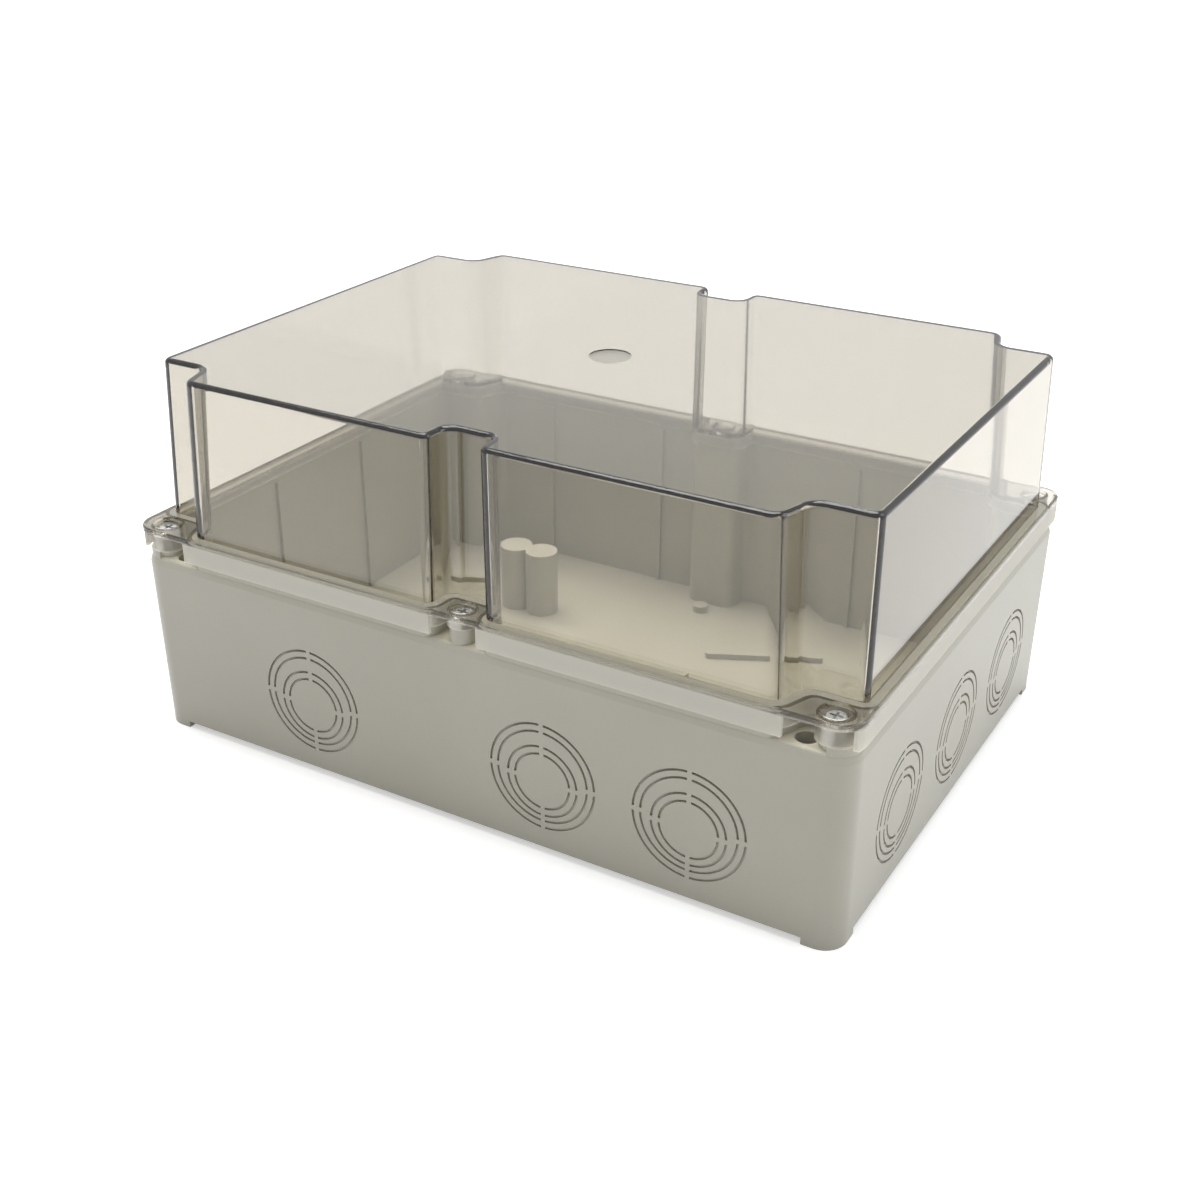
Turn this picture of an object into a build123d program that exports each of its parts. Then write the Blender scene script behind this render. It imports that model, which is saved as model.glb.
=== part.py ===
"""Plastic junction box: light grey moulded base with knockouts, tall clear lid, six captive screws.

Frame: millimetres, +Z up, X along the long side, Y to the back, origin under the middle of the box
on the plane that the four corner feet stand on.
"""
from build123d import *
import os

os.makedirs("parts", exist_ok=True)

# Driving sizes
base_half_length = 188.2         # outside of the base at the bottom, half of each side
base_half_width = 135.2
shoulder_height = 95.8           # top of the sloped band, and the shelf in the screw wells
dome_height = 79.0               # how far the lid stands up from its flange
box_corner_radius = 11.0

# Base, measured from its feet, its outside and its shoulder
foot_height = 3.5                # the corner feet reach this far below the walls
foot_length = 16.5
foot_width = 17.7
foot_wall = 2.6
floor_thickness = 3.0
base_wall = 3.0
length_draft = 0.7               # how much the base grows from the bottom to the fine line
width_draft = 1.2
band_height = 3.8                # the sloped band above the fine line round the base
well_end_rise = 3.1              # side walls that close the screw wells, above the shoulder
tongue_rise = 10.3               # the sealing tongue that presses into the gasket
tongue_thickness = 2.2
shelf_edge_radius = 2.0

# Lid, measured from the base below it
skirt_gap = 2.9                  # the skirt ends this far above the shoulder
flange_rise = 15.8               # top of the flange above the shoulder
flange_thickness = 3.0
flange_length_reach = 1.8        # how far the flange stands out past the base
flange_width_reach = 2.6
flange_edge_chamfer = 0.6
lid_wall = 3.0
lid_top_radius = 2.6
gate_radius = 10.3               # round moulding mark in the middle of the lid
gate_depth = 0.6

# The lid wall at its foot: how far inside the base it stands, and its notches over the screws
foot_length_inset = 3.6
foot_width_inset = 1.3
foot_notch_depth = 17.4
foot_notch_length = 31.1
foot_notch_turn = 6.5
foot_middle_depth = 15.3
foot_middle_half = 14.2

# The same at the top, where the wall leans in
top_length_inset = 5.2
top_width_inset = 2.5
top_notch_depth = 20.0
top_notch_length = 33.0
top_notch_turn = 6.0
top_middle_depth = 15.3
top_middle_half = 13.2
middle_notch_lean = 1.2          # how much narrower a middle notch is at its flat
notch_outer_radius = 6.5         # rounding where the wall turns into a corner notch
notch_inner_radius = 8.0         # rounding where it meets the flat
middle_outer_radius = 4.5
middle_inner_radius = 5.5
side_edge_radius = 4.5           # upright edges of the lid at the short sides

# Sealing tongue, groove and gasket, as distances out from the foot of the lid wall
short_side_step = 1.6            # the seal runs this much further out at the short sides
cavity_margin = -0.7             # inside face of the base walls
lip_inner_margin = -3.0          # inside face of the lid's inner lip
lip_gap = 1.0                    # between the inner lip and the tongue
lip_overlap = 2.7                # how far the inner lip reaches below the top of the tongue
groove_clearance = 0.6           # between the tongue and the outer wall of the groove
groove_wall = 1.6
groove_overlap = 4.9
gasket_side_gap = 0.2

# Lid screws, measured from the notch that they stand in and from the shoulder
screw_side_gap = 7.9             # from the short side of the lid wall to a corner screw
screw_flat_gap = 11.0            # from the flat of its notch
middle_screw_gap = 10.2
cup_radius = 8.1
cup_gap = 3.4                    # the corner cups of the lid end this far above the shoulder
counterbore_radius = 7.0
middle_cup_radius = 7.2
middle_cup_gap = 7.8
middle_counterbore_radius = 6.1
boss_gap = 0.3                   # between a lid cup and the boss below it
boss_radius = 6.2
seat_rise = 10.0                 # the screw heads sit this far above the shoulder
seat_plate = 3.0                 # thickness of the lid under a screw head
head_radius = 5.0
head_height = 3.6
head_chamfer = 0.7
screw_radius = 2.5
screw_length = 23.8
tip_length = 2.4
tip_radius = 1.2
recess_length = 5.6
recess_width = 1.15
recess_depth = 2.2
lid_bore_clearance = 0.3
pilot_clearance = 0.3
pilot_depth = 27.0
washer_radius = 4.1
washer_thickness = 1.0
washer_clearance = 0.3           # between the washer and the screw thread
washer_well_clearance = 0.4      # between the washer and its well in the boss
washer_well_depth = 4.3
corner_cut_gap = 4.5             # the skirt is cut away from here to the corner
middle_cut_half = 12.5

# Wall fixing tubes, in the same notches
fixing_side_gap = 19.4
fixing_flat_gap = 11.3
fixing_bore_radius = 4.9
fixing_tube_wall = 1.9
fixing_seat = 6.0
fixing_screw_radius = 2.8

# Knockouts: four rings in each, the inner two sit a little lower
ring_height = 41.3
inner_ring_drop = 2.3
ring_radius_1 = 27.0
ring_radius_2 = 23.3
ring_radius_3 = 18.0
ring_radius_4 = 14.2
ring_groove = 1.2
ring_depth = 1.3
bridge_width = 2.2
long_knockout_1 = -0.457 * base_half_length
long_knockout_2 = 0.236 * base_half_length
long_knockout_3 = 0.6255 * base_half_length
short_knockout = 0.54 * base_half_width
cross_arm = 9.5
cross_width = 0.9
cross_depth = 0.4

# Ribs inside the walls, and floor features that keep their share of the floor
rib_width = 2.0
rib_depth = 1.8
rib_rise = 4.2
short_rib_y = 0.27 * base_half_width
long_rib_1 = -0.614 * base_half_length
long_rib_2 = -0.218 * base_half_length
long_rib_3 = 0.43 * base_half_length
post_x = -0.468 * base_half_length
post_y = 0.459 * base_half_width
post_radius = 9.2
post_pitch = 17.0
post_height = 38.0
bar_width = 4.5
bar_height = 3.2
bar_angle = 26.0
bar_long = 62.0
bar_long_x = 0.298 * base_half_length
bar_long_y = 0.54 * base_half_width
bar_short = 40.0
bar_short_x = -0.744 * base_half_length
bar_short_y = 0.529 * base_half_width
boss_small_radius = 4.2
boss_small_height = 4.0
boss_back = (0.0, 0.8 * base_half_width)
boss_right = (0.149 * base_half_length, 0.229 * base_half_width)
boss_left = (-0.5 * base_half_length, 0.222 * base_half_width)

# Heights that follow
floor_top = foot_height + floor_thickness
lip_height = shoulder_height - band_height
tongue_top = shoulder_height + tongue_rise
skirt_bottom = shoulder_height + skirt_gap
ledge_height = shoulder_height + flange_rise
flange_bottom = ledge_height - flange_thickness
lid_height = ledge_height + dome_height
lip_bottom = tongue_top - lip_overlap
groove_wall_bottom = tongue_top - groove_overlap
cup_bottom = shoulder_height + cup_gap
middle_cup_bottom = shoulder_height + middle_cup_gap
head_seat = shoulder_height + seat_rise
washer_well_floor = shoulder_height - washer_well_depth

# Plan sizes that follow
lip_half_length = base_half_length + length_draft
lip_half_width = base_half_width + width_draft
flange_half_length = base_half_length + flange_length_reach
flange_half_width = base_half_width + flange_width_reach
foot_half_length = base_half_length - foot_length_inset
foot_half_width = base_half_width - foot_width_inset
top_half_length = base_half_length - top_length_inset
top_half_width = base_half_width - top_width_inset
tongue_margin = cavity_margin + tongue_thickness
groove_margin = tongue_margin + groove_clearance
lip_outer_margin = cavity_margin - lip_gap
shoulder_half_length = foot_half_length + short_side_step + tongue_margin
shoulder_half_width = foot_half_width + tongue_margin
skirt_inner_length = foot_half_length + short_side_step + groove_margin
skirt_inner_width = foot_half_width + groove_margin
cavity_x = foot_half_length + short_side_step + cavity_margin
cavity_y = foot_half_width + cavity_margin
corner_cut_start = foot_half_length - foot_notch_length + corner_cut_gap

# Screw places that follow from the notches
screw_x = foot_half_length - screw_side_gap
screw_y = foot_half_width - foot_notch_depth + screw_flat_gap
middle_screw_y = foot_half_width - foot_middle_depth + middle_screw_gap
fixing_x = foot_half_length - fixing_side_gap
fixing_y = foot_half_width - foot_notch_depth + fixing_flat_gap
corner_screws = [(screw_x, -screw_y), (screw_x, screw_y), (-screw_x, screw_y), (-screw_x, -screw_y)]
middle_screws = [(0.0, -middle_screw_y), (0.0, middle_screw_y)]
all_screws = corner_screws + middle_screws
fixing_points = [(fixing_x, -fixing_y), (fixing_x, fixing_y), (-fixing_x, fixing_y), (-fixing_x, -fixing_y)]


def notched(height, out, half_x, half_y, notch_depth, notch_length, notch_turn, middle_depth, middle_half):
    """Plan outline of a wall with a notch at each corner and two in the middle, grown by out."""
    x_side = half_x + out
    y_wall = half_y + out
    y_corner = half_y - notch_depth + out
    y_middle = half_y - middle_depth + out
    x_start = half_x - notch_length + out
    x_end = half_x - notch_length + notch_turn + out
    x_mouth = middle_half - out
    x_inner = middle_half - middle_notch_lean - out
    quarter = [
        (x_inner, y_middle),
        (x_mouth, y_wall),
        (x_start, y_wall),
        (x_end, y_corner),
        (x_side, y_corner),
    ]
    points = [(x, -y) for x, y in quarter]
    points += [(x, y) for x, y in reversed(quarter)]
    points += [(-x, y) for x, y in quarter]
    points += [(-x, -y) for x, y in reversed(quarter)]
    with BuildSketch(Plane.XY.offset(height)) as outline:
        with BuildLine():
            Polyline(*points, close=True)
        make_face()
        spots = outline.vertices()
        fillet([v for v in spots if abs(abs(v.X) - x_start) < 0.01], notch_outer_radius + out)
        spots = outline.vertices()
        fillet([v for v in spots if abs(abs(v.X) - x_end) < 0.01], notch_inner_radius - out)
        spots = outline.vertices()
        mouth = [v for v in spots if abs(abs(v.X) - x_mouth) < 0.01 and abs(abs(v.Y) - y_wall) < 0.01]
        fillet(mouth, middle_outer_radius + out)
        spots = outline.vertices()
        inner = [v for v in spots if abs(abs(v.X) - x_inner) < 0.01 and abs(abs(v.Y) - y_middle) < 0.01]
        fillet(inner, middle_inner_radius - out)
        spots = outline.vertices()
        side = [v for v in spots if abs(abs(v.X) - x_side) < 0.01 and abs(abs(v.Y) - y_corner) < 0.01]
        fillet(side, side_edge_radius + out)
    return outline.sketch


def lid_top_outline(height, out):
    return notched(height, out, top_half_length, top_half_width, top_notch_depth, top_notch_length,
                   top_notch_turn, top_middle_depth, top_middle_half)


def lid_foot_outline(height, out):
    return notched(height, out, foot_half_length, foot_half_width, foot_notch_depth, foot_notch_length,
                   foot_notch_turn, foot_middle_depth, foot_middle_half)


def seal_outline(height, out):
    """The line of the seal: the lid foot, taken further out at the short sides."""
    return notched(height, out, foot_half_length + short_side_step, foot_half_width, foot_notch_depth,
                   foot_notch_length + short_side_step, foot_notch_turn, foot_middle_depth,
                   foot_middle_half)


# Base: outer body, sloped band, tongue
with BuildPart() as base:
    with BuildSketch(Plane.XY.offset(foot_height)):
        RectangleRounded(2 * base_half_length, 2 * base_half_width, box_corner_radius)
    with BuildSketch(Plane.XY.offset(lip_height)):
        RectangleRounded(2 * lip_half_length, 2 * lip_half_width, box_corner_radius)
    loft(ruled=True)
    with BuildSketch(Plane.XY.offset(lip_height)):
        RectangleRounded(2 * lip_half_length, 2 * lip_half_width, box_corner_radius)
    with BuildSketch(Plane.XY.offset(shoulder_height)):
        RectangleRounded(2 * shoulder_half_length, 2 * shoulder_half_width, box_corner_radius - 1.0)
    loft(ruled=True)
    fillet(base.faces().sort_by(Axis.Z)[-1].edges(), shelf_edge_radius)

    # The short side walls close the ends of the screw wells up to the flange
    with BuildSketch(Plane.XY.offset(lip_height + 1.0)):
        RectangleRounded(2 * shoulder_half_length, 2 * shoulder_half_width, box_corner_radius - 1.0)
        RectangleRounded(2 * (shoulder_half_length - tongue_thickness),
                         2 * (shoulder_half_width - tongue_thickness),
                         box_corner_radius - 1.0 - tongue_thickness, mode=Mode.SUBTRACT)
        Rectangle(2 * (shoulder_half_length - box_corner_radius), 4 * foot_half_width, mode=Mode.SUBTRACT)
    extrude(amount=band_height + well_end_rise - 1.0)
    add(extrude(seal_outline(lip_height + 1.0, tongue_margin),
                amount=tongue_top - lip_height - 1.0, mode=Mode.PRIVATE))

    # Hollows of the corner and middle columns, open underneath
    hollow_length = base_half_length - base_wall
    hollow_width = base_half_width - base_wall
    with BuildSketch(Plane.XY.offset(-1.0)):
        RectangleRounded(2 * hollow_length, 2 * hollow_width, box_corner_radius - base_wall)
        add(seal_outline(0.0, tongue_margin), mode=Mode.SUBTRACT)
    extrude(amount=shoulder_height - base_wall + 1.0, mode=Mode.SUBTRACT)

    # Inside of the base
    add(extrude(seal_outline(floor_top, cavity_margin), amount=tongue_top, mode=Mode.PRIVATE),
        mode=Mode.SUBTRACT)

    # Corner feet: the walls carried down, hollow like the columns above them
    foot_x = base_half_length - foot_length / 2
    foot_y = base_half_width - foot_width / 2
    with BuildSketch(Plane.XY) as feet:
        RectangleRounded(2 * base_half_length, 2 * base_half_width, box_corner_radius)
        Rectangle(2 * (base_half_length - foot_length), 4 * base_half_width, mode=Mode.SUBTRACT)
        Rectangle(4 * base_half_length, 2 * (base_half_width - foot_width), mode=Mode.SUBTRACT)
        with Locations((foot_x, foot_y), (foot_x, -foot_y), (-foot_x, foot_y), (-foot_x, -foot_y)):
            RectangleRounded(foot_length - 2 * foot_wall, foot_width - 2 * foot_wall, 3.0,
                             mode=Mode.SUBTRACT)
    extrude(amount=foot_height + 0.5)

    # Fixing tubes through the corner columns, and bosses for the lid screws
    with BuildSketch(Plane.XY.offset(foot_height)):
        with Locations(*fixing_points):
            Circle(fixing_bore_radius + fixing_tube_wall)
    extrude(amount=shoulder_height - foot_height - 0.5)
    with BuildSketch(Plane.XY.offset(shoulder_height - pilot_depth)):
        with Locations(*corner_screws):
            Circle(boss_radius)
    extrude(amount=pilot_depth + cup_bottom - boss_gap - shoulder_height)
    with BuildSketch(Plane.XY.offset(shoulder_height - pilot_depth)):
        with Locations(*middle_screws):
            Circle(boss_radius)
    extrude(amount=pilot_depth + middle_cup_bottom - boss_gap - shoulder_height)
    with BuildSketch(Plane.XY.offset(foot_height + fixing_seat)):
        with Locations(*fixing_points):
            Circle(fixing_bore_radius)
    extrude(amount=shoulder_height, mode=Mode.SUBTRACT)
    with BuildSketch(Plane.XY.offset(-1.0)):
        with Locations(*fixing_points):
            Circle(fixing_screw_radius)
    extrude(amount=foot_height + fixing_seat + 2.0, mode=Mode.SUBTRACT)
    with BuildSketch(Plane.XY.offset(shoulder_height - pilot_depth + 2.0)):
        with Locations(*all_screws):
            Circle(screw_radius + pilot_clearance)
    extrude(amount=pilot_depth + 20.0, mode=Mode.SUBTRACT)
    with BuildSketch(Plane.XY.offset(washer_well_floor)):
        with Locations(*all_screws):
            Circle(washer_radius + washer_well_clearance)
    extrude(amount=20.0, mode=Mode.SUBTRACT)

    # Ribs on the inside of the walls
    with BuildSketch(Plane.XY.offset(floor_top - 0.5)):
        with Locations((cavity_x, short_rib_y), (cavity_x, -short_rib_y),
                       (-cavity_x, short_rib_y), (-cavity_x, -short_rib_y)):
            Rectangle(2 * rib_depth, rib_width)
        with Locations((long_rib_1, cavity_y), (long_rib_2, cavity_y), (long_rib_3, cavity_y),
                       (long_rib_1, -cavity_y), (long_rib_2, -cavity_y), (long_rib_3, -cavity_y)):
            Rectangle(rib_width, 2 * rib_depth)
        Rectangle(2 * cavity_x + 1.0, 2 * cavity_y + 1.0, mode=Mode.INTERSECT)
    extrude(amount=shoulder_height + rib_rise - floor_top)

    # Floor features, each with its partner turned by half a turn
    with BuildSketch(Plane.XY.offset(floor_top - 0.5)):
        with Locations((post_x - post_pitch / 2, post_y), (post_x + post_pitch / 2, post_y),
                       (-post_x - post_pitch / 2, -post_y), (-post_x + post_pitch / 2, -post_y)):
            Circle(post_radius)
    extrude(amount=post_height + 0.5)
    with BuildSketch(Plane.XY.offset(floor_top - 0.5)):
        with Locations(Location((bar_long_x, bar_long_y, 0), bar_angle),
                       Location((-bar_long_x, -bar_long_y, 0), bar_angle)):
            SlotOverall(bar_long, bar_width)
        with Locations(Location((bar_short_x, bar_short_y, 0), bar_angle),
                       Location((-bar_short_x, -bar_short_y, 0), bar_angle)):
            SlotOverall(bar_short, bar_width)
    extrude(amount=bar_height + 0.5)
    with BuildSketch(Plane.XY.offset(floor_top - 0.5)):
        with Locations(boss_back, boss_right, boss_left):
            Circle(boss_small_radius)
        with Locations(Location((0, 0, 0), 180.0)):
            with Locations(boss_back, boss_right, boss_left):
                Circle(boss_small_radius)
    extrude(amount=boss_small_height + 0.5)

    # Knockout rings, each broken by four bridges that hold the disc until it is pushed out
    ring_share = (ring_height - foot_height) / (lip_height - foot_height)
    wall_y = base_half_width + ring_share * (lip_half_width - base_half_width) - ring_depth
    wall_x = base_half_length + ring_share * (lip_half_length - base_half_length) - ring_depth
    front = Plane(origin=(0, -wall_y, ring_height), x_dir=(1, 0, 0), z_dir=(0, -1, 0))
    back = Plane(origin=(0, wall_y, ring_height), x_dir=(-1, 0, 0), z_dir=(0, 1, 0))
    right = Plane(origin=(wall_x, 0, ring_height), x_dir=(0, 1, 0), z_dir=(1, 0, 0))
    left = Plane(origin=(-wall_x, 0, ring_height), x_dir=(0, -1, 0), z_dir=(-1, 0, 0))
    front_spots = [long_knockout_1, long_knockout_2, long_knockout_3]
    back_spots = [-spot for spot in front_spots]
    short_spots = [-short_knockout, 0.0, short_knockout]
    for wall, spots in ((front, front_spots), (back, back_spots), (right, short_spots), (left, short_spots)):
        with BuildSketch(wall):
            with Locations(*[(spot, 0.0) for spot in spots]):
                Circle(ring_radius_1 + ring_groove / 2)
                Circle(ring_radius_1 - ring_groove / 2, mode=Mode.SUBTRACT)
                Circle(ring_radius_2 + ring_groove / 2)
                Circle(ring_radius_2 - ring_groove / 2, mode=Mode.SUBTRACT)
                Rectangle(3 * ring_radius_1, bridge_width, mode=Mode.SUBTRACT)
                Rectangle(bridge_width, 3 * ring_radius_1, mode=Mode.SUBTRACT)
        extrude(amount=2 * ring_depth, mode=Mode.SUBTRACT)
        with BuildSketch(wall):
            with Locations(*[(spot, -inner_ring_drop) for spot in spots]):
                Circle(ring_radius_3 + ring_groove / 2)
                Circle(ring_radius_3 - ring_groove / 2, mode=Mode.SUBTRACT)
                Circle(ring_radius_4 + ring_groove / 2)
                Circle(ring_radius_4 - ring_groove / 2, mode=Mode.SUBTRACT)
                Rectangle(3 * ring_radius_3, bridge_width, mode=Mode.SUBTRACT)
                Rectangle(bridge_width, 3 * ring_radius_3, mode=Mode.SUBTRACT)
        extrude(amount=2 * ring_depth, mode=Mode.SUBTRACT)

base.part.label = "base"
print("base", base.part.volume, base.part.bounding_box())
export_step(base.part, "parts/base.step")


# Lid
with BuildPart() as lid:
    loft(sections=[lid_foot_outline(flange_bottom, 0.0).face(), lid_top_outline(lid_height, 0.0).face()],
         ruled=True)
    top_face = lid.faces().sort_by(Axis.Z)[-1]
    fillet(top_face.edges(), lid_top_radius)
    with BuildSketch(Plane.XY.offset(flange_bottom)):
        RectangleRounded(2 * flange_half_length, 2 * flange_half_width, box_corner_radius)
    extrude(amount=flange_thickness)
    rim = lid.edges().filter_by_position(Axis.Z, ledge_height - 0.01, ledge_height + 0.01)
    rim = [e for e in rim if abs(e.center().X) > foot_half_length + 1.0 or abs(e.center().Y) > foot_half_width + 1.0]
    chamfer(rim, flange_edge_chamfer)

    # Skirt, inner lip, and the groove wall that follows the notches
    with BuildSketch(Plane.XY.offset(skirt_bottom)):
        RectangleRounded(2 * flange_half_length, 2 * flange_half_width, box_corner_radius)
        RectangleRounded(2 * skirt_inner_length, 2 * skirt_inner_width, box_corner_radius - 1.7,
                         mode=Mode.SUBTRACT)
        # The skirt stops at the corner wells and at the middle screws
        cut_length = skirt_inner_length - corner_cut_start
        cut_x = corner_cut_start + cut_length / 2
        with Locations((cut_x, flange_half_width), (cut_x, -flange_half_width),
                       (-cut_x, flange_half_width), (-cut_x, -flange_half_width)):
            Rectangle(cut_length, box_corner_radius, mode=Mode.SUBTRACT)
        with Locations((0, flange_half_width), (0, -flange_half_width)):
            Rectangle(2 * middle_cut_half, box_corner_radius, mode=Mode.SUBTRACT)
    extrude(amount=flange_bottom - skirt_bottom + 0.5)
    lip_band = seal_outline(lip_bottom, lip_outer_margin) - seal_outline(lip_bottom, lip_inner_margin)
    add(extrude(lip_band, amount=flange_bottom - lip_bottom + 0.5, mode=Mode.PRIVATE))
    with BuildSketch(Plane.XY.offset(groove_wall_bottom)):
        add(seal_outline(0.0, groove_margin + groove_wall))
        add(seal_outline(0.0, groove_margin), mode=Mode.SUBTRACT)
        Rectangle(2 * skirt_inner_length + 1.0, 2 * skirt_inner_width + 1.0, mode=Mode.INTERSECT)
    extrude(amount=flange_bottom - groove_wall_bottom + 0.5)

    # Cups round the lid screws
    with BuildSketch(Plane.XY.offset(cup_bottom)):
        with Locations(*corner_screws):
            Circle(cup_radius)
    extrude(amount=ledge_height - 1.0 - cup_bottom)
    with BuildSketch(Plane.XY.offset(middle_cup_bottom)):
        with Locations(*middle_screws):
            Circle(middle_cup_radius)
    extrude(amount=ledge_height - 1.0 - middle_cup_bottom)

    # Inside of the lid
    add(loft(sections=[lid_foot_outline(flange_bottom, -lid_wall).face(),
                       lid_top_outline(lid_height - lid_wall, -lid_wall).face()],
             ruled=True, mode=Mode.PRIVATE), mode=Mode.SUBTRACT)

    # Screw seats and bores
    with BuildSketch(Plane.XY.offset(head_seat)):
        with Locations(*corner_screws):
            Circle(counterbore_radius)
        with Locations(*middle_screws):
            Circle(middle_counterbore_radius)
    extrude(amount=flange_thickness + 5.0, mode=Mode.SUBTRACT)
    with BuildSketch(Plane.XY.offset(cup_bottom - 1.0)):
        with Locations(*all_screws):
            Circle(screw_radius + lid_bore_clearance)
    extrude(amount=20.0, mode=Mode.SUBTRACT)
    with BuildSketch(Plane.XY.offset(cup_bottom - 1.0)):
        with Locations(*all_screws):
            Circle(washer_radius + washer_well_clearance)
    extrude(amount=head_seat - seat_plate - cup_bottom + 1.0, mode=Mode.SUBTRACT)

    # Round moulding mark in the middle of the top
    with BuildSketch(Plane.XY.offset(lid_height - gate_depth)):
        Circle(gate_radius)
    extrude(amount=2.0, mode=Mode.SUBTRACT)

lid.part.label = "lid"
print("lid", lid.part.volume, lid.part.bounding_box(), len(lid.solids()))
export_step(lid.part, "parts/lid.step")

# Gasket
with BuildPart() as gasket:
    gasket_band = (seal_outline(tongue_top, groove_margin - gasket_side_gap)
                   - seal_outline(tongue_top, lip_outer_margin + gasket_side_gap))
    add(extrude(gasket_band, amount=flange_bottom - tongue_top, mode=Mode.PRIVATE))

gasket.part.label = "gasket"
print("gasket", gasket.part.volume, len(gasket.solids()))
export_step(gasket.part, "parts/gasket.step")

# Lid screws and their retaining washers, one of each at every screw place
screw_names = ["front_right", "back_right", "back_left", "front_left", "front_middle", "back_middle"]
for place, (place_x, place_y) in zip(screw_names, all_screws):
    with BuildPart() as screw:
        with BuildSketch(Plane(origin=(place_x, place_y, head_seat), x_dir=(1, 0, 0), z_dir=(0, -1, 0))):
            with BuildLine():
                Polyline((0, head_height), (head_radius - head_chamfer, head_height),
                         (head_radius, head_height - head_chamfer), (head_radius, 0), (screw_radius, 0),
                         (screw_radius, tip_length - screw_length), (tip_radius, -screw_length),
                         (0, -screw_length), close=True)
            make_face()
        revolve(axis=Axis((place_x, place_y, 0), (0, 0, 1)))
        with BuildSketch(Plane.XY.offset(head_seat + head_height - recess_depth)):
            with Locations((place_x, place_y)):
                Rectangle(recess_length, recess_width)
                Rectangle(recess_width, recess_length)
        extrude(amount=2 * recess_depth, mode=Mode.SUBTRACT)
    screw.part.label = "screw_" + place
    export_step(screw.part, "parts/screw_" + place + ".step")
    with BuildPart() as washer:
        with BuildSketch(Plane.XY.offset(washer_well_floor)):
            with Locations((place_x, place_y)):
                Circle(washer_radius)
                Circle(screw_radius + washer_clearance, mode=Mode.SUBTRACT)
        extrude(amount=washer_thickness)
    washer.part.label = "washer_" + place
    export_step(washer.part, "parts/washer_" + place + ".step")
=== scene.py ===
# %% [markdown]
# # A plastic junction box with a clear lid
# A grey moulded base with knockout rings, a tall lid of clear, smoke tinted plastic, a pale seal
# between them and six zinc screws that stay in the lid. The solids come from the CAD model and
# keep their places. This lesson sets up a plain white studio, gives every surface its finish and
# turns the screws with Geometry Nodes.

# %% Load the frame
import bpy
import math
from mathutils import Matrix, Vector


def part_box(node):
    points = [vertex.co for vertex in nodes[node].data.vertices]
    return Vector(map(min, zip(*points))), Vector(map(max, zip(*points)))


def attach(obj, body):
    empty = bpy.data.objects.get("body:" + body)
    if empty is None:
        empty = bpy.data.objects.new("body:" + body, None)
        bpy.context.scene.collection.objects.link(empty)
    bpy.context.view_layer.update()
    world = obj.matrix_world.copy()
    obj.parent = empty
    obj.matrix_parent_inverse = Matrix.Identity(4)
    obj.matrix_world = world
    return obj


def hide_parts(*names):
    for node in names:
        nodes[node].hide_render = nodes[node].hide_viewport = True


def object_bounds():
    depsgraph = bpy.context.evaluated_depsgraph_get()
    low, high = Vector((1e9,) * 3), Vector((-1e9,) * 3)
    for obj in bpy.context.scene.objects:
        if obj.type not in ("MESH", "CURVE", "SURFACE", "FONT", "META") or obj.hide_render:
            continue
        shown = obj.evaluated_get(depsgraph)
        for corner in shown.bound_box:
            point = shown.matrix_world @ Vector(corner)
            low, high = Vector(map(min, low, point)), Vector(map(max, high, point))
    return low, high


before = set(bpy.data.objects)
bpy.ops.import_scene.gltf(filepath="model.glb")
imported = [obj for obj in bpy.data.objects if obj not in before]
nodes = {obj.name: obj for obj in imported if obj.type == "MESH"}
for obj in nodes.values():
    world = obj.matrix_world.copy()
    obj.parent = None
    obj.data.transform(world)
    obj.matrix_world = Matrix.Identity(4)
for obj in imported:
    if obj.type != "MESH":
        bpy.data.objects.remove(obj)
scene = bpy.context.scene
cad_low, cad_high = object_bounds()
box_size = cad_high - cad_low
mm = 0.001
print("box of the solids, mm:", [round(v / mm, 1) for v in box_size])

# %% [markdown]
# ## Camera
# The photograph looks down on the front right corner from a little under half a metre to each
# side. The place, the turn and the lens below were found by fitting the straight edges of the
# box, so a small lens shift is left over from how the picture was cropped.

# %% Camera at the angle of the photograph
camera_place = Vector((0.36965, -0.64181, 0.43215))
camera_turn = (62.98450, -0.00849, 30.70941)
camera_data = bpy.data.cameras.new("camera")
camera_data.sensor_width = 36.0
camera_data.lens = 48.1217
camera_data.shift_x = 0.00875
camera_data.shift_y = 0.00690
camera = bpy.data.objects.new("camera", camera_data)
camera.location = camera_place
camera.rotation_euler = [math.radians(angle) for angle in camera_turn]
scene.collection.objects.link(camera)
scene.camera = camera
print("camera distance, m:", round((camera_place - (cad_low + cad_high) / 2).length, 3))


# %% [markdown]
# ## Helpers for the node trees
# A material is a small machine of nodes. A few helpers keep the lesson short. They add a node with
# its settings and numbers, tell which rays look straight at a surface, mix two tones, and start
# and end a material.

# %% Node helpers
def add_node(tree, kind, inputs=None, **settings):
    """Adds a node. inputs maps a socket's name or number to a value, or to a socket to link from."""
    node = tree.nodes.new(kind)
    for name, value in settings.items():
        setattr(node, name, value)
    for key, value in (inputs or {}).items():
        if isinstance(value, bpy.types.NodeSocket):
            tree.links.new(value, node.inputs[key])
        else:
            node.inputs[key].default_value = value
    return node


def new_material(name):
    material = bpy.data.materials.new(name)
    material.use_nodes = True
    material.node_tree.nodes.clear()
    return material, material.node_tree


def object_place(tree):
    """The place on the piece itself, so that a pattern stays with it when it moves."""
    return add_node(tree, "ShaderNodeTexCoord").outputs["Object"]


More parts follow.
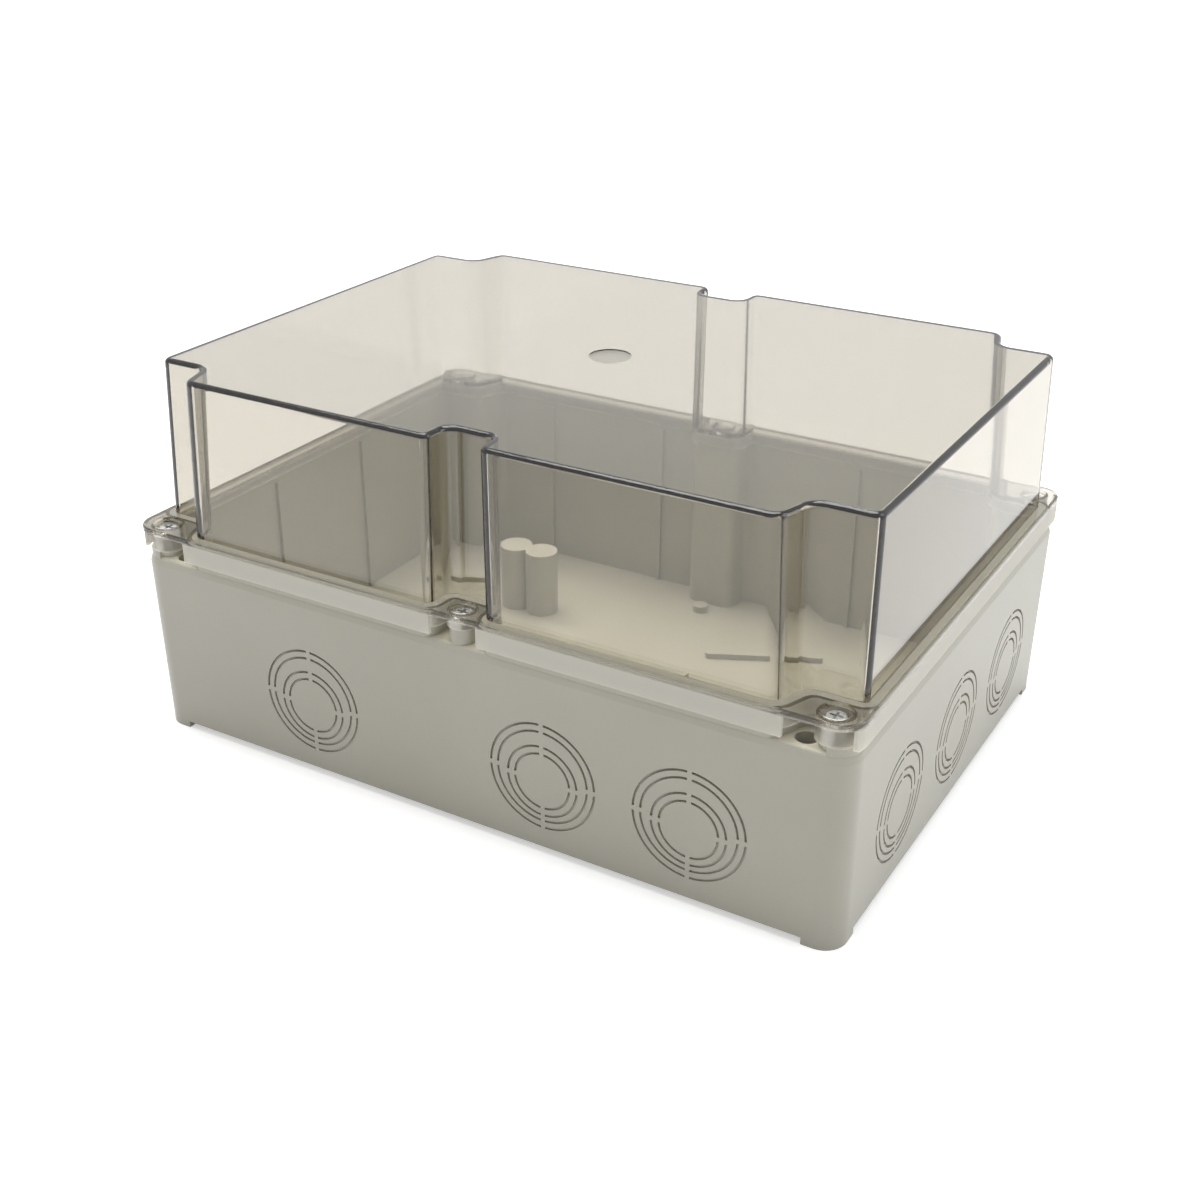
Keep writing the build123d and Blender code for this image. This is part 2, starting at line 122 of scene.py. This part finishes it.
def directly_seen(tree):
    """One for rays from the camera, from reflections and through clear pieces, else zero."""
    path = add_node(tree, "ShaderNodeLightPath")
    seen = add_node(tree, "ShaderNodeMath", {
        0: path.outputs["Is Camera Ray"], 1: path.outputs["Is Glossy Ray"]}, operation="ADD")
    seen = add_node(tree, "ShaderNodeMath", {
        0: seen.outputs[0], 1: path.outputs["Is Transmission Ray"]}, operation="ADD", use_clamp=True)
    return seen.outputs[0]


def two_tones(tree, amount, first, last, start=0.0, end=1.0):
    """A ramp between two colours, given as red, green and blue."""
    tone = add_node(tree, "ShaderNodeValToRGB", {"Fac": amount})
    for element, place, colour in zip(tone.color_ramp.elements, (start, end), (first, last)):
        element.position = place
        element.color = (*colour, 1)
    return tone.outputs["Color"]


def finish_material(tree, surface, volume=None):
    output = add_node(tree, "ShaderNodeOutputMaterial", {"Surface": surface})
    if volume is not None:
        tree.links.new(volume, output.inputs["Volume"])


def set_finish(piece, material):
    """Gives every material slot of a piece the same finish."""
    if not piece.material_slots:
        piece.data.materials.append(material)
    for slot in piece.material_slots:
        slot.material = material


# %% [markdown]
# ## Floor, backdrop and light
# The product stands on white. The floor is a matt white sheet that keeps a soft shadow, and the
# world behind it reads as white to the camera, to reflections and to what is seen through the
# lid, while it lights the box at a lower, plain level. One large soft lamp hangs overhead. The
# other stands to the right and a little behind, so the short side is lighter than the long front,
# as in the photograph.

# %% White floor
floor_size = 14.0
floor_grey = 0.82
floor_lift = 0.46       # added for rays that look straight at the floor, so that it reads as white
floor_mesh = bpy.data.meshes.new("floor")
half = floor_size / 2
corners = [(-half, -half, 0), (half, -half, 0), (half, half, 0), (-half, half, 0)]
floor_mesh.from_pydata(corners, [], [(0, 1, 2, 3)])
floor = bpy.data.objects.new("floor", floor_mesh)
scene.collection.objects.link(floor)
floor_white, tree = new_material("floor_white")
matt = add_node(tree, "ShaderNodeBsdfDiffuse", {"Color": (floor_grey, floor_grey, floor_grey, 1)})
lift_strength = add_node(tree, "ShaderNodeMath", {
    0: directly_seen(tree), 1: floor_lift}, operation="MULTIPLY")
lift = add_node(tree, "ShaderNodeEmission", {"Strength": lift_strength.outputs[0]})
both = add_node(tree, "ShaderNodeAddShader", {0: matt.outputs[0], 1: lift.outputs[0]})
finish_material(tree, both.outputs[0])
set_finish(floor, floor_white)

# %% World and lamps
lighting_level = 0.47
seen_level = 1.0
world = bpy.data.worlds.new("studio")
scene.world = world
world.use_nodes = True
tree = world.node_tree
tree.nodes.clear()
dim = add_node(tree, "ShaderNodeBackground", {"Color": (1, 1, 1, 1), "Strength": lighting_level})
white = add_node(tree, "ShaderNodeBackground", {"Color": (1, 1, 1, 1), "Strength": seen_level})
choice = add_node(tree, "ShaderNodeMixShader", {
    0: directly_seen(tree), 1: dim.outputs[0], 2: white.outputs[0]})
add_node(tree, "ShaderNodeOutputWorld", {"Surface": choice.outputs[0]})


def soft_lamp(name, place, aim, width, power, colour=(1.0, 1.0, 1.0)):
    data = bpy.data.lights.new(name, "AREA")
    data.shape = "SQUARE"
    data.size = width
    data.energy = power
    data.color = colour
    lamp = bpy.data.objects.new(name, data)
    lamp.location = place
    lamp.rotation_euler = (Vector(aim) - Vector(place)).to_track_quat("-Z", "Y").to_euler()
    scene.collection.objects.link(lamp)
    return lamp


box_middle = (0.0, 0.0, 0.08)
soft_lamp("lamp_right", (3.0, 1.0, 2.6), box_middle, 2.4, 34.0, colour=(0.94, 0.97, 1.0))
soft_lamp("lamp_top", (-0.8, 0.6, 4.0), box_middle, 3.2, 176.0)


# %% [markdown]
# ## The grey base
# The base is moulded in one piece. Its plastic is a warm light grey with a satin skin. The mould
# was spark eroded, so the skin has a very fine grain, and the colour drifts a little where the
# plastic flowed. A noise of two sizes gives the drift and the grain, on Object coordinates so
# that it stays with the moulding.

# %% Moulded grey plastic
def moulded_grey():
    material, tree = new_material("moulded_grey")
    place = object_place(tree)
    drift = add_node(tree, "ShaderNodeTexNoise", {"Vector": place, "Scale": 9.0, "Detail": 3.0})
    grain = add_node(tree, "ShaderNodeTexNoise", {"Vector": place, "Scale": 1400.0, "Detail": 2.0})
    tone = two_tones(tree, drift.outputs["Fac"], (0.385, 0.370, 0.308), (0.430, 0.415, 0.350),
                     start=0.3, end=0.7)
    gloss = add_node(tree, "ShaderNodeMapRange", {
        "Value": drift.outputs["Fac"], "To Min": 0.30, "To Max": 0.40})
    bump = add_node(tree, "ShaderNodeBump", {
        "Height": grain.outputs["Fac"], "Strength": 0.12, "Distance": 0.0002})
    skin = add_node(tree, "ShaderNodeBsdfPrincipled", {
        "Base Color": tone, "Roughness": gloss.outputs["Result"], "Normal": bump.outputs[0],
        "IOR": 1.52})
    finish_material(tree, skin.outputs[0])
    return material


set_finish(nodes["base"], moulded_grey())
print("base finished in moulded grey")


# %% [markdown]
# ## The clear lid
# The lid is clear plastic with a light smoke tint. The tint sits in the depth of the plastic, so
# a wall seen edge on is nearly black while a wall seen square on is almost clear. A volume that
# only absorbs light does just that. Rays from the lamps go straight through, tinted, so that the
# inside of the box is lit. The round mark left by the moulding nozzle is slightly rough, and the
# skirt and the cups below the flange come from an eroded part of the mould, so they look milky.

# %% Clear smoke plastic
gate_radius = 0.010          # round mark of the moulding nozzle, in the middle of the top
frost_height = 0.1085        # the lid is milky below this height
skirt_half_length = 0.1870   # the skirt stands outside this rectangle
skirt_half_width = 0.1352
skirt_milk = 0.62
cup_milk = 0.14
smoke_density = 178.0
smoke_density_for_lamps = 10.0


def clear_smoke():
    material, tree = new_material("clear_smoke")
    place = object_place(tree)
    flow = add_node(tree, "ShaderNodeTexNoise", {"Vector": place, "Scale": 14.0, "Detail": 1.0})
    bump = add_node(tree, "ShaderNodeBump", {
        "Height": flow.outputs["Fac"], "Strength": 0.10, "Distance": 0.0006})
    flat = add_node(tree, "ShaderNodeVectorMath", {0: place, 1: (1, 1, 0)}, operation="MULTIPLY")
    reach = add_node(tree, "ShaderNodeVectorMath", {0: flat.outputs[0]}, operation="LENGTH")
    inside = add_node(tree, "ShaderNodeMapRange", {
        "Value": reach.outputs["Value"], "From Min": gate_radius - 0.0002, "From Max": gate_radius + 0.0002,
        "To Min": 0.32, "To Max": 0.02})
    spot = add_node(tree, "ShaderNodeSeparateXYZ", {0: place})

    def fade_upwards(low_value):
        """low_value below the frost height and zero above it."""
        return add_node(tree, "ShaderNodeMapRange", {
            "Value": spot.outputs["Z"],
            "From Min": frost_height - 0.0003, "From Max": frost_height + 0.0003,
            "To Min": low_value, "To Max": 0.0})

    frost = fade_upwards(0.42)
    rough = add_node(tree, "ShaderNodeMath", {
        0: inside.outputs["Result"], 1: frost.outputs["Result"]}, operation="MAXIMUM")
    plastic = add_node(tree, "ShaderNodeBsdfPrincipled", {
        "Base Color": (1.0, 1.0, 1.0, 1), "Roughness": rough.outputs[0], "IOR": 1.58,
        "Transmission Weight": 1.0, "Normal": bump.outputs[0]})
    # The skirt is milkier than the cups and the groove
    past = []
    for axis, half_size in (("X", skirt_half_length), ("Y", skirt_half_width)):
        away = add_node(tree, "ShaderNodeMath", {0: spot.outputs[axis]}, operation="ABSOLUTE")
        past.append(add_node(tree, "ShaderNodeMath", {
            0: away.outputs[0], 1: half_size}, operation="SUBTRACT"))
    outside = add_node(tree, "ShaderNodeMath", {
        0: past[0].outputs[0], 1: past[1].outputs[0]}, operation="MAXIMUM")
    share = add_node(tree, "ShaderNodeMapRange", {
        "Value": outside.outputs[0], "From Min": -0.0004, "From Max": 0.0004,
        "To Min": cup_milk, "To Max": skirt_milk})
    milk = fade_upwards(share.outputs["Result"])
    pale = add_node(tree, "ShaderNodeBsdfDiffuse", {"Color": (0.80, 0.78, 0.70, 1)})
    body = add_node(tree, "ShaderNodeMixShader", {
        0: milk.outputs["Result"], 1: plastic.outputs[0], 2: pale.outputs[0]})
    through = add_node(tree, "ShaderNodeBsdfTransparent", {"Color": (0.97, 0.965, 0.95, 1)})
    path = add_node(tree, "ShaderNodeLightPath")
    surface = add_node(tree, "ShaderNodeMixShader", {
        0: path.outputs["Is Shadow Ray"], 1: body.outputs[0], 2: through.outputs[0]})
    depth = add_node(tree, "ShaderNodeMapRange", {
        "Value": path.outputs["Is Shadow Ray"], "To Min": smoke_density, "To Max": smoke_density_for_lamps})
    smoke = add_node(tree, "ShaderNodeVolumeAbsorption", {
        "Color": (0.40, 0.35, 0.22, 1), "Density": depth.outputs["Result"]})
    finish_material(tree, surface.outputs[0], smoke.outputs[0])
    return material


set_finish(nodes["lid"], clear_smoke())
print("lid finished in clear smoke")


# %% [markdown]
# ## Seal, washers and screws
# The seal is a pale foamed strip, full of small cells. The washers that keep the screws in the
# lid are natural nylon, milky and a little waxy. The screws are bright zinc, whose fine spangle
# changes its tone and its shine from spot to spot.

# %% Foam, nylon and zinc
def pale_foam():
    material, tree = new_material("pale_foam")
    place = object_place(tree)
    cells = add_node(tree, "ShaderNodeTexVoronoi", {"Vector": place, "Scale": 1800.0})
    tone = two_tones(tree, cells.outputs["Distance"], (0.50, 0.50, 0.47), (0.66, 0.66, 0.62))
    bump = add_node(tree, "ShaderNodeBump", {
        "Height": cells.outputs["Distance"], "Strength": 0.4, "Distance": 0.0002})
    skin = add_node(tree, "ShaderNodeBsdfPrincipled", {
        "Base Color": tone, "Roughness": 0.85, "Normal": bump.outputs[0]})
    finish_material(tree, skin.outputs[0])
    return material


def milky_nylon():
    material, tree = new_material("milky_nylon")
    place = object_place(tree)
    cloud = add_node(tree, "ShaderNodeTexNoise", {"Vector": place, "Scale": 300.0})
    tone = two_tones(tree, cloud.outputs["Fac"], (0.66, 0.65, 0.58), (0.78, 0.77, 0.70))
    skin = add_node(tree, "ShaderNodeBsdfPrincipled", {"Base Color": tone, "Roughness": 0.45})
    finish_material(tree, skin.outputs[0])
    return material


def bright_zinc():
    material, tree = new_material("bright_zinc")
    place = object_place(tree)
    spangle = add_node(tree, "ShaderNodeTexNoise", {"Vector": place, "Scale": 900.0, "Detail": 3.0})
    tone = two_tones(tree, spangle.outputs["Fac"], (0.62, 0.64, 0.66), (0.82, 0.83, 0.84))
    wear = add_node(tree, "ShaderNodeMapRange", {
        "Value": spangle.outputs["Fac"], "To Min": 0.18, "To Max": 0.34})
    skin = add_node(tree, "ShaderNodeBsdfPrincipled", {
        "Base Color": tone, "Metallic": 1.0, "Roughness": wear.outputs["Result"]})
    finish_material(tree, skin.outputs[0])
    return material


foam = pale_foam()
nylon = milky_nylon()
zinc = bright_zinc()
set_finish(nodes["gasket"], foam)
screw_nodes = sorted(name for name in nodes if name.startswith("screw_"))
washer_nodes = sorted(name for name in nodes if name.startswith("washer_"))
for name in washer_nodes:
    set_finish(nodes[name], nylon)
for name in screw_nodes:
    set_finish(nodes[name], zinc)
print(len(screw_nodes), "screws and", len(washer_nodes), "washers")

# %% [markdown]
# ## Six lid screws by one recipe
# A turned screw is a circle that travels down its axis and changes its radius on the way. The
# tree below does that, cuts a cross into the head, and winds a thread round the shank: a spiral
# curve with a small diamond as its section. One recipe with named inputs makes all six screws.
# Each one is evaluated to a plain mesh that rides on the body of its CAD screw and takes its
# place in the picture.

# %% The screw recipe
screw_sizes = {
    "Head Radius": 0.005, "Head Height": 0.0036, "Shank Radius": 0.00215, "Length": 0.0238,
    "Thread Radius": 0.0022, "Thread Depth": 0.00028, "Thread Turns": 10.0,
    "Cross Length": 0.0056, "Cross Width": 0.00115, "Cross Depth": 0.0022}


def captive_screw_tree():
    tree = bpy.data.node_groups.new("captive_screw", "GeometryNodeTree")
    face = tree.interface
    face.new_socket(name="Geometry", in_out="INPUT", socket_type="NodeSocketGeometry")
    face.new_socket(name="Geometry", in_out="OUTPUT", socket_type="NodeSocketGeometry")
    face.new_socket(name="Place", in_out="INPUT", socket_type="NodeSocketVector")
    for name, value in screw_sizes.items():
        socket = face.new_socket(name=name, in_out="INPUT", socket_type="NodeSocketFloat")
        socket.default_value = value
    face.new_socket(name="Material", in_out="INPUT", socket_type="NodeSocketMaterial")
    wants = add_node(tree, "NodeGroupInput")
    gives = add_node(tree, "NodeGroupOutput")

    def maths(operation, first, second):
        return add_node(tree, "ShaderNodeMath", {0: first, 1: second}, operation=operation).outputs[0]

    def up(value):
        return add_node(tree, "ShaderNodeCombineXYZ", {"Z": value}).outputs[0]

    # Head: from the seat to the crown, with a rounded rim
    crown = add_node(tree, "GeometryNodeCurvePrimitiveLine", {
        "Start": (0, 0, 0), "End": up(wants.outputs["Head Height"])})
    crown = add_node(tree, "GeometryNodeResampleCurve", {"Curve": crown.outputs[0], "Count": 25})
    share = add_node(tree, "GeometryNodeSplineParameter").outputs["Factor"]
    rim = add_node(tree, "ShaderNodeFloatCurve", {"Value": share})
    points = rim.mapping.curves[0].points
    points[0].location = (0.0, 1.0)
    points[1].location = (1.0, 0.80)
    points.new(0.72, 1.0)
    points.new(0.90, 0.95)
    rim.mapping.update()
    ring = add_node(tree, "GeometryNodeCurvePrimitiveCircle", {"Resolution": 64, "Radius": 1.0})
    head = add_node(tree, "GeometryNodeCurveToMesh", {
        "Curve": crown.outputs[0], "Profile Curve": ring.outputs[0],
        "Scale": maths("MULTIPLY", rim.outputs[0], wants.outputs["Head Radius"]), "Fill Caps": True})
    # Cross recess
    bar_height = maths("MULTIPLY", wants.outputs["Cross Depth"], 2.0)
    cut = head
    for side_x, side_y in (("Cross Length", "Cross Width"), ("Cross Width", "Cross Length")):
        size = add_node(tree, "ShaderNodeCombineXYZ", {
            "X": wants.outputs[side_x], "Y": wants.outputs[side_y], "Z": bar_height})
        bar = add_node(tree, "GeometryNodeMeshCube", {"Size": size.outputs[0]})
        lifted = add_node(tree, "GeometryNodeTransform", {
            "Geometry": bar.outputs[0], "Translation": up(wants.outputs["Head Height"])})
        cut = add_node(tree, "GeometryNodeMeshBoolean", {
            "Mesh 1": cut.outputs[0], "Mesh 2": lifted.outputs[0]}, operation="DIFFERENCE", solver="EXACT")
    # Shank: from just inside the head down to its narrow end
    low = maths("MULTIPLY", wants.outputs["Length"], -1.0)
    axis = add_node(tree, "GeometryNodeCurvePrimitiveLine", {"Start": up(0.0003), "End": up(low)})
    axis = add_node(tree, "GeometryNodeResampleCurve", {"Curve": axis.outputs[0], "Count": 41})
    taper = add_node(tree, "ShaderNodeFloatCurve", {"Value": share})
    points = taper.mapping.curves[0].points
    points[0].location = (0.0, 1.0)
    points[1].location = (1.0, 0.45)
    points.new(0.89, 1.0)
    for point in points:
        point.handle_type = "VECTOR"
    taper.mapping.update()
    round_rod = add_node(tree, "GeometryNodeCurvePrimitiveCircle", {"Resolution": 48, "Radius": 1.0})
    shank = add_node(tree, "GeometryNodeCurveToMesh", {
        "Curve": axis.outputs[0], "Profile Curve": round_rod.outputs[0],
        "Scale": maths("MULTIPLY", taper.outputs[0], wants.outputs["Shank Radius"]), "Fill Caps": True})
    # Thread: a spiral over four fifths of the shank
    run = maths("MULTIPLY", wants.outputs["Length"], 0.80)
    spiral = add_node(tree, "GeometryNodeCurveSpiral", {
        "Resolution": 40, "Rotations": wants.outputs["Thread Turns"],
        "Start Radius": wants.outputs["Thread Radius"], "End Radius": wants.outputs["Thread Radius"],
        "Height": run})
    thread_end = maths("MULTIPLY", wants.outputs["Length"], -0.90)
    drop = add_node(tree, "GeometryNodeTransform", {
        "Geometry": spiral.outputs[0], "Translation": up(thread_end)})
    diamond = add_node(tree, "GeometryNodeCurvePrimitiveCircle", {
        "Resolution": 4, "Radius": wants.outputs["Thread Depth"]})
    thread = add_node(tree, "GeometryNodeCurveToMesh", {
        "Curve": drop.outputs[0], "Profile Curve": diamond.outputs[0], "Fill Caps": True})
    joined = add_node(tree, "GeometryNodeJoinGeometry")
    for part in (thread.outputs[0], shank.outputs[0], cut.outputs[0]):
        tree.links.new(part, joined.inputs[0])
    placed = add_node(tree, "GeometryNodeTransform", {
        "Geometry": joined.outputs[0], "Translation": wants.outputs["Place"]})
    real = add_node(tree, "GeometryNodeRealizeInstances", {"Geometry": placed.outputs[0]})
    dressed = add_node(tree, "GeometryNodeSetMaterial", {
        "Geometry": real.outputs[0], "Material": wants.outputs["Material"]})
    tree.links.new(dressed.outputs[0], gives.inputs["Geometry"])
    return tree


def grow(tree, name, values):
    """Runs a recipe once and keeps its result as a plain mesh object."""
    seed_mesh = bpy.data.meshes.new(name + "_seed")
    seed = bpy.data.objects.new(name + "_seed", seed_mesh)
    scene.collection.objects.link(seed)
    recipe = seed.modifiers.new(name, "NODES")
    recipe.node_group = tree
    for item in tree.interface.items_tree:
        if item.in_out == "INPUT" and item.name in values:
            recipe[item.identifier] = values[item.name]
    ready = seed.evaluated_get(bpy.context.evaluated_depsgraph_get())
    mesh = bpy.data.meshes.new_from_object(ready)
    seed.modifiers.clear()
    bpy.data.objects.remove(seed)
    piece = bpy.data.objects.new(name, mesh)
    scene.collection.objects.link(piece)
    return piece


# %% Six screws in their places
screw_recipe = captive_screw_tree()
head_seat = 0.1058      # underside of the screw heads
for name in screw_nodes:
    low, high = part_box(name)
    middle = (Vector(low) + Vector(high)) / 2
    screw = grow(screw_recipe, name.replace("screw_", "turned_screw_"), {
        "Place": (middle.x, middle.y, head_seat), "Material": zinc})
    triangles = sum(len(face.vertices) - 2 for face in screw.data.polygons)
    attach(screw, name)
    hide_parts(name)
    size = [round(v / mm, 2) for v in screw.dimensions]
    print(screw.name, "triangles", triangles, "size, mm", size)

# %% [markdown]
# ## Colour
# The picture is shown plainly, with the Standard view transform.

# %% Finish
scene.view_settings.view_transform = "Standard"
